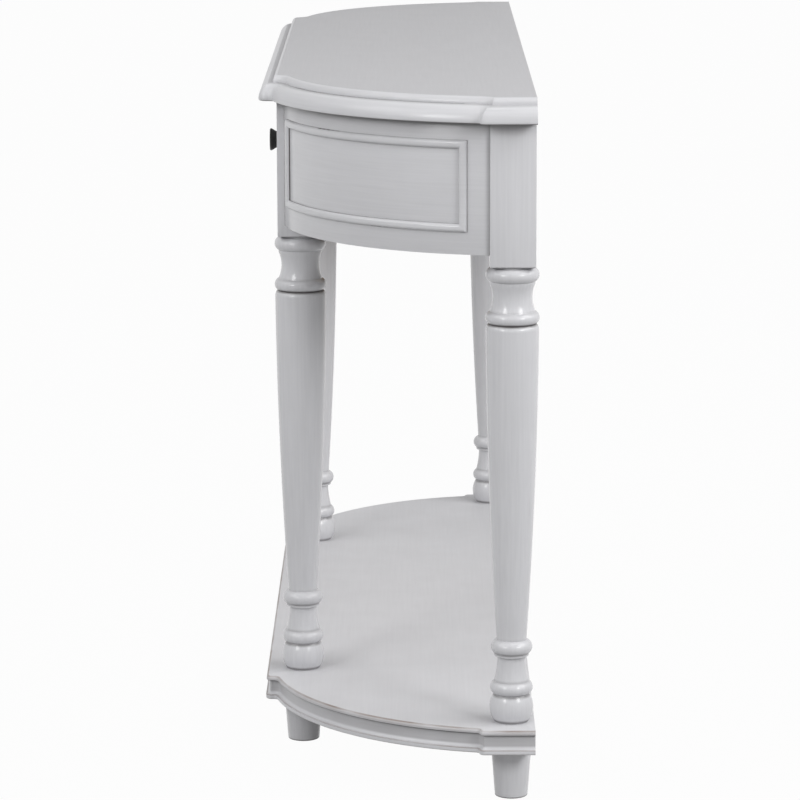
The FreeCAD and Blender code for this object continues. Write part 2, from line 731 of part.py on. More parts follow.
def flat_bead(label, left, right, base, top, face):
    """Four mitred strips round an upright panel that looks to the front."""
    wide = size("bead_wide")
    corners = [(left, base), (right, base), (right, top), (left, top)]
    signs = [("+", "+"), ("-", "+"), ("-", "-"), ("+", "-")]
    inner = [(f"{x} {a} {wide}", f"{z} {b} {wide}") for (x, z), (a, b) in zip(corners, signs)]
    strips = []
    for number, name in enumerate(("base", "right", "top", "left")):
        after = (number + 1) % len(corners)
        loop = [corners[number], corners[after], inner[after], inner[number]]
        strip = padded_body(f"{label}_{name}", "XZ", f"-{face}", loop, size("bead_rise"))
        doc.recompute()
        proud = value(f"{face} - Sizes.bead_rise")
        strips.append(rounded_strip(strip, lambda end: abs(end.Y - proud) < TOUCH))
    return group(label, strips)


FRAME_FRONT = f"acos(({total(FRONT_BLOCK_OUT, 'bead_margin')} - {CURVE_X}) / {APRON_RADIUS})"
FRAME_BACK = f"asin(({BACK} - {less(BACK_BLOCK_FACE, 'bead_margin')}) / {APRON_RADIUS})"
HALF_STRIP_TURN = f"(atan(Sizes.bead_wide / 2 / {APRON_RADIUS}))"
BEAD_RADIUS = total(APRON_RADIUS, "bead_rise")


def swing(piece, angle):
    """Swings a piece made straight out along X about the curve's centre, towards the front."""
    piece.Placement.Rotation = FreeCAD.Rotation(FreeCAD.Vector(0, 0, 1), -1)
    piece.setExpression("Placement.Rotation.Angle", f"-({angle})")
    move(piece, CURVE_X, BACK, "0")
    return piece


def upright_strip(label, angle, outward):
    """A straight upright strip of an end bead, its longer edge away from the middle of the panel."""
    wide = size("bead_wide")
    outer = f"{outward} * {wide} / 2"
    inner = f"-{outward} * {wide} / 2"
    strip = padded_body(label, "YZ", APRON_RADIUS, [
        (outer, OPENING_BASE),
        (outer, OPENING_TOP),
        (inner, f"{OPENING_TOP} - {wide}"),
        (inner, f"{OPENING_BASE} + {wide}"),
    ], size("bead_rise"))
    doc.recompute()
    proud = value(BEAD_RADIUS)
    return swing(rounded_strip(strip, lambda end: abs(end.X - proud) < TOUCH), angle)


def curved_strip(label, outer, inner, ends):
    """A level strip bent round the apron, cut at forty-five degrees to meet the upright strips."""
    strip = named("PartDesign::Body", f"{label}_blank")
    sketch = body_sketch(strip, "XZ", "0", [
        (APRON_RADIUS, outer),
        (BEAD_RADIUS, outer),
        (BEAD_RADIUS, inner),
        (APRON_RADIUS, inner),
    ])
    sweep = strip.newObject("PartDesign::Revolution", f"{label}_sweep")
    sweep.Profile = sketch
    sweep.ReferenceAxis = (sketch, ["V_Axis"])
    sweep.Reversed = True
    sweep.setExpression("Angle", f"{FRAME_FRONT} - {FRAME_BACK}")
    strip.Tip = sweep
    doc.recompute()
    proud = value(BEAD_RADIUS)
    swing(rounded_strip(strip, lambda end: abs(math.hypot(end.X, end.Y) - proud) < TOUCH), FRAME_BACK)
    wide = size("bead_wide")
    mitres = []
    for end, (angle, outward) in ends.items():
        mitre = padded_body(f"{label}_{end}_mitre", "YZ", "0", [
            (f"{outward} * {wide} / 2", outer),
            (f"-{outward} * {wide} / 2", inner),
            (f"{outward} * {wide}", inner),
            (f"{outward} * {wide}", outer),
        ], f"2 * {APRON_RADIUS}")
        mitres.append(swing(mitre, angle))
    return cut(label, strip, mitres)


UPRIGHTS = {
    "back": (f"({FRAME_BACK} + {HALF_STRIP_TURN})", "1"),
    "front": (f"({FRAME_FRONT} - {HALF_STRIP_TURN})", "-1"),
}
bead_strips = [upright_strip(f"end_bead_{end}", *terms) for end, terms in UPRIGHTS.items()]
bead_strips += [
    curved_strip("end_bead_top", OPENING_TOP, less(OPENING_TOP, "bead_wide"), UPRIGHTS),
    curved_strip("end_bead_base", OPENING_BASE, total(OPENING_BASE, "bead_wide"), UPRIGHTS),
]
end_bead = group("end_bead_right", bead_strips)
end_beads = [end_bead, mirrored("end_bead_left", end_bead)]


# Front rails and stile round the drawers, and the straight back apron
def front_bar(label, reach, base, top):
    """An upright board of the drawer frame, as far to the left as to the right."""
    return board(label, (f"-{reach}", RAIL_FACE, base), (reach, RAIL_BACK, top))


top_rail_blank = front_bar("top_rail_blank", FRONT_BLOCK_IN, OPENING_TOP, UNDERSIDE)
front_rail_top = cut("front_rail_top", top_rail_blank, both_sides(drills["top_rail_dowel"]))
low_rail_blank = front_bar("low_rail_blank", FRONT_BLOCK_IN, APRON_BASE, OPENING_BASE)
front_rail_low = cut("front_rail_low", low_rail_blank, both_sides(drills["low_rail_dowel"]))
front_stile = front_bar("front_stile", HALF_STILE, OPENING_BASE, OPENING_TOP)
back_apron = cut(
    "back_apron",
    board(
        "back_apron_blank",
        (f"-{BACK_BLOCK_IN}", BACK_APRON_FACE, APRON_BASE),
        (BACK_BLOCK_IN, total(BACK_APRON_FACE, "back_apron_thick"), UNDERSIDE),
    ),
    both_sides(drills["back_low_dowel"]) + both_sides(drills["back_high_dowel"]),
)
corner_block = padded_body("corner_block_right", "XY", less(UNDERSIDE, "corner_block_height"), [
    (BACK_BLOCK_IN, BACK_BLOCK_FACE),
    (BACK_BLOCK_IN, BACK_APRON_FACE),
    (less(BACK_BLOCK_IN, "corner_block_reach"), BACK_APRON_FACE),
], size("corner_block_height"))
corner_blocks = [corner_block, mirrored("corner_block_left", corner_block)]

# Places that the right-hand drawer and its bay share
DRAWER_LEFT = total(HALF_STILE, "reveal")
DRAWER_RIGHT = less(FRONT_BLOCK_IN, "reveal")
DRAWER_MIDDLE = f"(({HALF_STILE} + {FRONT_BLOCK_IN}) / 2)"
DRAWER_BASE = total(OPENING_BASE, "reveal")
DRAWER_TOP = less(OPENING_TOP, "reveal")
DRAWER_FRONT_BACK = total(RAIL_FACE, "drawer_front_thick")
SIDE_START = f"({less(DRAWER_FRONT_BACK, 'groove_depth')} + Sizes.groove_gap)"
SIDE_END = less(BACK_APRON_FACE, "stop_gap")
SIDE_TOP = total(DRAWER_BASE, "drawer_side_height")
INNER_SIDE = total(HALF_STILE, "runner_room")
OUTER_SIDE = less(FRONT_BLOCK_IN, "runner_room")
INSIDE_LEFT = total(INNER_SIDE, "drawer_side_thick")
INSIDE_RIGHT = less(OUTER_SIDE, "drawer_side_thick")
BOTTOM_BASE = total(DRAWER_BASE, "bottom_lift")
BOTTOM_TOP = total(BOTTOM_BASE, "drawer_bottom_thick")
KNOB_HEIGHT = f"(({DRAWER_BASE} + {DRAWER_TOP}) / 2)"

# Runners carry and guide the drawer sides, kickers keep an open drawer level
RUNNER_TOP = less(DRAWER_BASE, "runner_gap")
RUNNER_BASE = less(RUNNER_TOP, "runner_thick")
GUIDE_TOP = total(RUNNER_TOP, "guide_height")
BAY_DEPTH = f"({BACK_APRON_FACE} - {RAIL_BACK})"
outer_guide = total(OUTER_SIDE, "guide_gap")
outer_lap = less(OUTER_SIDE, "runner_lap")
outer_runner = padded_body("drawer_runner_right", "XZ", f"-{BACK_APRON_FACE}", [
    (outer_lap, RUNNER_BASE),
    (FRONT_BLOCK_IN, RUNNER_BASE),
    (FRONT_BLOCK_IN, GUIDE_TOP),
    (outer_guide, GUIDE_TOP),
    (outer_guide, RUNNER_TOP),
    (outer_lap, RUNNER_TOP),
], BAY_DEPTH)
middle_guide = less(INNER_SIDE, "guide_gap")
middle_lap = total(INNER_SIDE, "runner_lap")
middle_runner = padded_body("drawer_runner_middle", "XZ", f"-{BACK_APRON_FACE}", [
    (f"-{middle_lap}", RUNNER_BASE),
    (middle_lap, RUNNER_BASE),
    (middle_lap, RUNNER_TOP),
    (middle_guide, RUNNER_TOP),
    (middle_guide, GUIDE_TOP),
    (f"-{middle_guide}", GUIDE_TOP),
    (f"-{middle_guide}", RUNNER_TOP),
    (f"-{middle_lap}", RUNNER_TOP),
], BAY_DEPTH)
runners = [outer_runner, mirrored("drawer_runner_left", outer_runner), middle_runner]

# Screws up into the top, through the kickers and through the cleats of the curved aprons
CLEAT_RADIUS = less(APRON_INNER, "drill_gap")
CLEAT_SCREW = f"({CLEAT_RADIUS} - Sizes.cleat_thick / 2)"
KICKER_BASE = total(SIDE_TOP, "kicker_gap")
SCREW_SEAT = less(UNDERSIDE, "screw_grip")
OUTER_KICKER_MIDDLE = f"(({outer_lap} + {FRONT_BLOCK_IN}) / 2)"
SCREW_FRONT = total(RAIL_BACK, "screw_end_inset")
SCREW_BACK = less(BACK_APRON_FACE, "screw_end_inset")
screw_sites = {
    "outer_front": (OUTER_KICKER_MIDDLE, SCREW_FRONT),
    "outer_back": (OUTER_KICKER_MIDDLE, SCREW_BACK),
    "middle_front": ("0", SCREW_FRONT),
    "middle_back": ("0", SCREW_BACK),
    "cleat": (
        f"({CURVE_X} + {CLEAT_SCREW} * cos(Sizes.cleat_turn))",
        f"({BACK} - {CLEAT_SCREW} * sin(Sizes.cleat_turn))",
    ),
}


def top_screw(label, x, y):
    """A round-headed screw with its head down, seated below the underside of the top."""
    seat = f"-{size('screw_grip')}"
    screw = turned_body(label, [
        ("0", less(seat, "screw_head_thick")),
        (size("screw_head_radius"), less(seat, "screw_head_thick")),
        (size("screw_head_radius"), seat),
        (size("screw_radius"), seat),
        (size("screw_radius"), size("screw_bite")),
        ("0", size("screw_bite")),
    ])
    move(screw, x, y, UNDERSIDE)
    return screw


screws = []
screw_drills = {}
for site, (x, y) in screw_sites.items():
    screw = top_screw(f"top_screw_{site}", x, y)
    shank_radius = total(size("screw_radius"), "drill_gap")
    shank_length = "(Sizes.screw_grip + Sizes.screw_bite + Sizes.drill_gap)"
    head_radius = total(size("screw_head_radius"), "drill_gap")
    head_base = less(SCREW_SEAT, "screw_grip")
    shank = rod(f"top_screw_{site}_shank", "Z", (x, y, SCREW_SEAT), shank_radius, shank_length)
    sink = rod(f"top_screw_{site}_sink", "Z", (x, y, head_base), head_radius, size("screw_grip"))
    on_middle = site.startswith("middle")
    screws += [screw] if on_middle else both_sides(screw)
    screw_drills[site] = (shank, sink)
top_screws = group("top_screws", screws)


def kicker(label, left, right, sites):
    """A bar over the drawer sides, bored for its screws."""
    blank = board(f"{label}_blank", (left, RAIL_BACK, KICKER_BASE), (right, BACK_APRON_FACE, UNDERSIDE))
    return cut(label, blank, [drill for site in sites for drill in screw_drills[site]])


outer_kicker = kicker("drawer_kicker_right", outer_lap, FRONT_BLOCK_IN, ("outer_front", "outer_back"))
middle_sites = ("middle_front", "middle_back")
middle_kicker = kicker("drawer_kicker_middle", f"-{middle_lap}", middle_lap, middle_sites)
kickers = [outer_kicker, mirrored("drawer_kicker_left", outer_kicker), middle_kicker]

cleat_blank = named("PartDesign::Body", "top_cleat_blank")
cleat_section = body_sketch(cleat_blank, "XZ", "0", [
    (less(CLEAT_RADIUS, "cleat_thick"), less(UNDERSIDE, "cleat_height")),
    (CLEAT_RADIUS, less(UNDERSIDE, "cleat_height")),
    (CLEAT_RADIUS, UNDERSIDE),
    (less(CLEAT_RADIUS, "cleat_thick"), UNDERSIDE),
])
cleat_sweep = cleat_blank.newObject("PartDesign::Revolution", "top_cleat_sweep")
cleat_sweep.Profile = cleat_section
cleat_sweep.ReferenceAxis = (cleat_section, ["V_Axis"])
cleat_sweep.Reversed = True
cleat_sweep.setExpression("Angle", size("cleat_angle"))
cleat_blank.Tip = cleat_sweep
swing(cleat_blank, "Sizes.cleat_turn - Sizes.cleat_angle / 2")
top_cleat = cut("top_cleat_right", cleat_blank, list(screw_drills["cleat"]))
top_cleats = [top_cleat, mirrored("top_cleat_left", top_cleat)]


# Top: a rolled nose under a small lip, drilled from below for the screws
def nose_height(inset):
    """How far the nose of the top has risen where it lies this far in."""
    return f"sqrt(Sizes.nose_round^2 - (Sizes.nose_round - {inset})^2)"


def nose_up_to(inset):
    """The nose of the top from below up to where it lies this far in."""
    height = nose_height(inset)
    bow = f"(Sizes.nose_round - sqrt(Sizes.nose_round^2 - ({inset}^2 + {height}^2) / 4))"
    return [
        (size("nose_tuck"), "0"),
        ("0", size("nose_tuck"), quarter(size("nose_tuck"))),
        (inset, f"(Sizes.nose_tuck + {height})", bow),
    ]


NOSE_TOP = f"(Sizes.nose_tuck + {nose_height(size('nose_reach'))})"
LIP_FACE = total(size("nose_reach"), "lip_ledge")
TOP_PROFILE = [
    *nose_up_to(size("nose_reach")),
    (LIP_FACE, NOSE_TOP),
    (LIP_FACE, less(size("top_thick"), "lip_round")),
    (total(LIP_FACE, "lip_round"), size("top_thick"), quarter(size("lip_round"))),
]

top_holes = []
for site, (shank, sink) in screw_drills.items():
    top_holes += [shank] if site.startswith("middle") else both_sides(shank)
top_breaks = break_corners(FRONT, size("front_corner_round"), size("front_corner_hollow"))
top_blank = moulded_board("top", TOP_PROFILE, UNDERSIDE, FRONT, top_breaks, nose_up_to)
top_board = cut("top_board", top_blank, top_holes)


# Drawer: a boxed tray let into grooves behind a beaded front
def drawer_pieces():
    """Every piece of the right-hand drawer but its knob."""
    gap = size("groove_gap")
    low_slot = f"({BOTTOM_BASE} - {gap})"
    high_slot = f"({BOTTOM_TOP} + {gap})"
    slot_end = less(DRAWER_FRONT_BACK, "groove_depth")
    blank = board(
        "drawer_front_blank",
        (DRAWER_LEFT, RAIL_FACE, DRAWER_BASE),
        (DRAWER_RIGHT, DRAWER_FRONT_BACK, DRAWER_TOP),
    )
    housings = [
        board(
            f"{name}_housing",
            (f"{left} - {gap}", slot_end, DRAWER_BASE),
            (f"{right} + {gap}", DRAWER_FRONT_BACK, f"{SIDE_TOP} + {gap}"),
        )
        for name, left, right in (("inner", INNER_SIDE, INSIDE_LEFT), ("outer", INSIDE_RIGHT, OUTER_SIDE))
    ]
    slot_back = (INSIDE_RIGHT, DRAWER_FRONT_BACK, high_slot)
    slot = board("front_slot", (INSIDE_LEFT, slot_end, low_slot), slot_back)
    drill_radius = total(size("knob_screw_radius"), "drill_gap")
    drill_start = (DRAWER_MIDDLE, RAIL_FACE, KNOB_HEIGHT)
    drill = rod("knob_screw_drill", "Y", drill_start, drill_radius, size("drawer_front_thick"))
    front = cut("drawer_front_right", blank, [*housings, slot, drill])
    inner_slot = less(INSIDE_LEFT, "groove_depth")
    outer_slot = total(INSIDE_RIGHT, "groove_depth")
    sides = [
        cut(
            f"drawer_side_{name}_right",
            board(f"{name}_side_blank", (left, SIDE_START, DRAWER_BASE), (right, SIDE_END, SIDE_TOP)),
            [board(f"{name}_slot", (slot_left, SIDE_START, low_slot), (slot_right, SIDE_END, high_slot))],
        )
        for name, left, right, slot_left, slot_right in (
            ("inner", INNER_SIDE, INSIDE_LEFT, inner_slot, INSIDE_LEFT),
            ("outer", INSIDE_RIGHT, OUTER_SIDE, INSIDE_RIGHT, outer_slot),
        )
    ]
    back = board(
        "drawer_back_right",
        (INSIDE_LEFT, less(SIDE_END, "drawer_back_thick"), high_slot),
        (INSIDE_RIGHT, SIDE_END, SIDE_TOP),
    )
    bottom = board(
        "drawer_bottom_right",
        (f"{inner_slot} + {gap}", f"{slot_end} + {gap}", BOTTOM_BASE),
        (f"{outer_slot} - {gap}", SIDE_END, BOTTOM_TOP),
    )
    bead = flat_bead("drawer_bead_right", DRAWER_LEFT, DRAWER_RIGHT, DRAWER_BASE, DRAWER_TOP, RAIL_FACE)
    return [front, bead, *sides, back, bottom]


# Knob: a cone that flares to a flat face, held by a screw from inside the drawer
def drawer_knob():
    """The knob and its screw, turned about the axis that runs out of the drawer front."""
    bore = total(size("knob_screw_radius"), "drill_gap")
    stem_base = size("knob_base_thick")
    rim = less(size("knob_reach"), "knob_rim")
    knob = turned_body("knob_right", [
        (bore, "0"),
        (size("knob_base_radius"), "0"),
        (size("knob_base_radius"), stem_base),
        (size("knob_stem_radius"), stem_base),
        (size("knob_stem_radius"), total(stem_base, "knob_stem_length")),
        (size("knob_cone_radius"), less(rim, "knob_cone_length")),
        (size("knob_radius"), rim),
        (size("knob_radius"), less(size("knob_reach"), "knob_rim_ease")),
        (less(size("knob_radius"), "knob_rim_ease"), size("knob_reach")),
        ("0", size("knob_reach")),
        ("0", total(size("knob_screw_bite"), "drill_gap")),
        (bore, total(size("knob_screw_bite"), "drill_gap")),
    ])
    seat = f"-{size('drawer_front_thick')}"
    screw = turned_body("knob_screw_right", [
        ("0", less(seat, "screw_head_thick")),
        (size("screw_head_radius"), less(seat, "screw_head_thick")),
        (size("screw_head_radius"), seat),
        (size("knob_screw_radius"), seat),
        (size("knob_screw_radius"), size("knob_screw_bite")),
        ("0", size("knob_screw_bite")),
    ])
    for piece in (knob, screw):
        piece.Placement.Rotation = FACING_FRONT
        move(piece, DRAWER_MIDDLE, RAIL_FACE, KNOB_HEIGHT)
    return [knob, screw]


right_drawer = drawer_pieces() + drawer_knob()
left_drawer = [mirrored(piece.Label.replace("right", "left"), piece) for piece in right_drawer]

sub_parts = [top_board, shelf_board, *legs, *feet, *end_aprons, *end_beads]
sub_parts += [front_rail_top, front_rail_low, front_stile, back_apron, *corner_blocks]
sub_parts += [*runners, *kickers, *top_cleats, apron_dowels, leg_bolts, top_screws]
sub_parts += [*right_drawer, *left_drawer]

doc.recompute()
failed = [item.Label for item in doc.Objects if {"Invalid", "Error"} & set(item.State)]
failed += [piece.Label for piece in sub_parts if piece.Shape.isNull() or not piece.Shape.isValid()]
if failed:
    raise RuntimeError(f"these did not build: {sorted(set(failed))}")
os.makedirs("parts", exist_ok=True)
for piece in sub_parts:
    piece.Shape.exportStep(os.path.join("parts", f"{piece.Label}.step"))
print(len(sub_parts), "sub-parts,", sum(len(piece.Shape.Solids) for piece in sub_parts), "solids")
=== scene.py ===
# %% [markdown]
# # A painted demilune table
# This lesson dresses a half-round hall table. The wooden parts come from a imported CAD model,
# which is the fixed frame: nothing in it is moved or resized. Blender adds what the eye sees,
# which is softened edges, brushed paint, glaze and painted shade in the grooves, and bare wood
# in the drawers.

# %% Load the fixed frame
import json
import math

import bmesh
import bpy
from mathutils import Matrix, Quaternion, Vector

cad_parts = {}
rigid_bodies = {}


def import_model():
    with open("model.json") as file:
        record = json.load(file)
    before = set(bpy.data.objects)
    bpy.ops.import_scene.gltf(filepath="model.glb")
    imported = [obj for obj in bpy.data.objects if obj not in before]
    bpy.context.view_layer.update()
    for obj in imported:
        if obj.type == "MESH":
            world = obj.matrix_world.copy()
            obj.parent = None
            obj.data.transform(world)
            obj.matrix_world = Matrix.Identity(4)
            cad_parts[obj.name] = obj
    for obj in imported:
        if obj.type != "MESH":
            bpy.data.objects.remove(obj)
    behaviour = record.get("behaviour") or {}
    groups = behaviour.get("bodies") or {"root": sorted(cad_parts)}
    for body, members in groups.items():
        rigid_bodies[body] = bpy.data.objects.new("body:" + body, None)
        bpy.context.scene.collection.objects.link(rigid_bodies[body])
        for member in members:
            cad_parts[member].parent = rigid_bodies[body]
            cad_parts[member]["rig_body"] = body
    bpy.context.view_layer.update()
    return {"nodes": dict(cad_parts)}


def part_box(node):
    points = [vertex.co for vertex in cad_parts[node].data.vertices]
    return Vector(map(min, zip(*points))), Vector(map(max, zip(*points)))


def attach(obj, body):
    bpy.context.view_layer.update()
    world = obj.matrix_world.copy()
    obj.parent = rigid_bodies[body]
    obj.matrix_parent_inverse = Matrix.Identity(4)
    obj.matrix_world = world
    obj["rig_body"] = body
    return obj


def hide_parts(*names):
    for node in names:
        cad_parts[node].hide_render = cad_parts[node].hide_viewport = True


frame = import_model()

nodes = frame["nodes"]
scene = bpy.context.scene

# %% [markdown]
# ## The camera
# The photograph looks past one end of the table with a long lens, slightly from above.
# A camera can be placed by hand until the picture fits, or worked out from lines that are
# straight and level on the object. The second way was used: the feet, the blocks and the
# corners of the top fix the place, the aim and a slight roll.

# %% Stand the camera where the photograph was taken
CAMERA_PLACE = Vector((4.651, 0.0148, 1.2085))
CAMERA_AIM = Vector((0.0, 0.0020, 0.3310))
CAMERA_ROLL = math.radians(-0.16)
LENS_MM = 175.0
FILM_MM = 36.0

camera_data = bpy.data.cameras.new("photo_camera")
camera_data.lens = LENS_MM
camera_data.sensor_width = FILM_MM
camera = bpy.data.objects.new("photo_camera", camera_data)
camera.location = CAMERA_PLACE
camera.rotation_mode = "QUATERNION"
towards = (CAMERA_AIM - CAMERA_PLACE).to_track_quat("-Z", "Y")
camera.rotation_quaternion = towards @ Quaternion((0, 0, 1), CAMERA_ROLL)
scene.collection.objects.link(camera)
scene.camera = camera
print("camera", round((CAMERA_AIM - CAMERA_PLACE).length, 3), "m from the table")

# %% [markdown]
# ## Helpers for materials
# Colours are written as the hex codes of an ordinary colour picker. Blender's shaders count in
# linear light, so one function turns a code into linear values. Another starts an empty material.
# The third adds a node, gives it its settings and feeds its sockets: a socket in the table makes a
# link, a value is set directly. Sockets that share a name go by their number: in a Mix node 0 is the
# share, 2 and 3 are plain values, and 6 and 7 are colours.

# %% Colours and nodes


def linear(code):
    """The linear colour of an sRGB hex code."""
    parts = [int(code[place:place + 2], 16) / 255 for place in (1, 3, 5)]
    light = [part / 12.92 if part <= 0.04045 else ((part + 0.055) / 1.055) ** 2.4 for part in parts]
    return [*light, 1.0]


def new_material(name):
    """An empty node material, with its tree and its surface shader."""
    material = bpy.data.materials.new(name)
    material.use_nodes = True
    return material, material.node_tree, material.node_tree.nodes["Principled BSDF"]


def add(tree, kind, feeds=None, **settings):
    """A node with its settings, each input either linked to a socket or set to a value."""
    node = tree.nodes.new(kind)
    for name, setting in settings.items():
        setattr(node, name, setting)
    for socket, feed in (feeds or {}).items():
        if isinstance(feed, bpy.types.NodeSocket):
            tree.links.new(feed, node.inputs[socket])
        else:
            node.inputs[socket].default_value = feed
    return node


print("white is", linear("#ffffff"), "and mid grey is", [round(part, 3) for part in linear("#808080")])

# %% [markdown]
# ## Brush strokes
# The paint was brushed on by hand, along the legs and round the boards. Strokes could be sculpted or
# drawn on a picture. Noise does it at any distance from the camera: squeezed across the stroke and
# drawn long along it, in real millimetres. On level boards the paint flows out, so strokes are fainter.

# %% Draw the brush strokes
# Bristles leave marks of about 1 mm. They are drawn wider here, because finer ones do not show.
STROKE_MM = 3.0
STROKE_LENGTH_MM = 110.0
FACES_UP = {"From Min": 0.9, "From Max": 0.98}
FLOWED_OUT = {"To Min": 0.25, "To Max": 0.75}


def brushing(tree, places, along):
    """Noise drawn long along some axes and squeezed across the others."""
    scale = [1000 / (STROKE_LENGTH_MM if axis in along else STROKE_MM) for axis in "XYZ"]
    squeezed = add(tree, "ShaderNodeMapping", {"Vector": places, "Scale": scale}).outputs[0]
    feeds = {"Vector": squeezed, "Scale": 1.0, "Detail": 3.0, "Roughness": 0.6}
    return add(tree, "ShaderNodeTexNoise", feeds).outputs["Fac"]


def strokes_on(tree, places, along, upward):
    """Strokes along some axes on upright faces, and fainter ones along the table on level faces."""
    upright, flat = [brushing(tree, places, axes) for axes in (along, "X")]
    level = add(tree, "ShaderNodeMapRange", {"Value": flat, **FLOWED_OUT}).outputs[0]
    return add(tree, "ShaderNodeMix", {0: upward, 2: upright, 3: level}).outputs[0]


print("strokes", STROKE_MM, "mm wide and", STROKE_LENGTH_MM, "mm long")

# %% [markdown]
# ## Marks at a height
# A thin brown-grey glaze was wiped over the paint, and it stays in the grooves of the turnings. The
# same dark colour also paints shade: deeper in the grooves, under the lips and the top, and where
# pieces meet the shelf or the floor. Along the lips of the shelf the paint is rubbed through. These
# marks could be painted on by hand in texture mode. Here they are worked out from height instead,
# because every groove of a turning lies at one height: a colour ramp over height marks them all.
# Heights are counted from a board of the frame or from the floor, so the marks stay with their pieces.

# %% Mark grooves and lips by their height


def line(middle, half, strength):
    """Three stops over height, in metres: a mark that fades out on both sides of its middle."""
    return [(middle - half, 0.0), (middle, strength), (middle + half, 0.0)]


def by_height(tree, places, base, reach, marks):
    """A mask from stops (height, strength) within a reach of heights, all in metres above a base."""
    low, high = reach
    height = add(tree, "ShaderNodeSeparateXYZ", {0: places}).outputs["Z"]
    span = {"From Min": base + low, "From Max": base + high}
    share = add(tree, "ShaderNodeMapRange", {"Value": height, **span}).outputs[0]
    ramp = add(tree, "ShaderNodeValToRGB", {"Fac": share})
    stops = ramp.color_ramp.elements
    stops[1].color = (0, 0, 0, 1)
    for place, strength in marks:
        stop = stops.new((place - low) / (high - low))
        stop.color = (strength, strength, strength, 1)
    return ramp.outputs["Color"]


print("a groove 31 mm above the shelf:", line(0.0310, 0.0014, 1.0))

# %% [markdown]
# ## The paint
# The paint is a pale grey-white with a satin gloss. Its tone drifts a little with the strokes and with
# a wide mottle. Glaze and painted shade come next, in one dark colour: by height, beside the beads (a
# value kept on the mesh), and as painted shade that darkens the level faces of the top. Rubbed edges
# come last, in patches, because a cloth does not rub evenly.
# Level boards are duller than their mouldings, as use and dusting leave them.
# One function mixes it all, so every piece has the same paint and only its marks and gloss differ.

# %% Write the recipe of the paint
PALE = "#d0d0d3"
SHADE = "#cacacd"
# The dark colour of the glaze, and of the painted shade in grooves, corners, under overhangs and on level
# faces.
GLAZE_AND_SHADE = "#332b26"
RUBBED = "#84766e"
MOTTLE_MM = 45.0
MOTTLE_SHARE = 0.35
TONE_SPAN = {"From Min": 0.48, "From Max": 0.9}
GLAZE_AND_SHADE_LEFT = {"To Min": 1.6, "To Max": 2.4}
RUB_LEFT = {"From Min": 0.3, "From Max": 0.65, "To Min": 0.35}
GLOSS_DRIFT = 0.05
STROKE_DEPTH = 0.0004
STROKE_RELIEF = 0.02
PAINT_IOR = 1.48


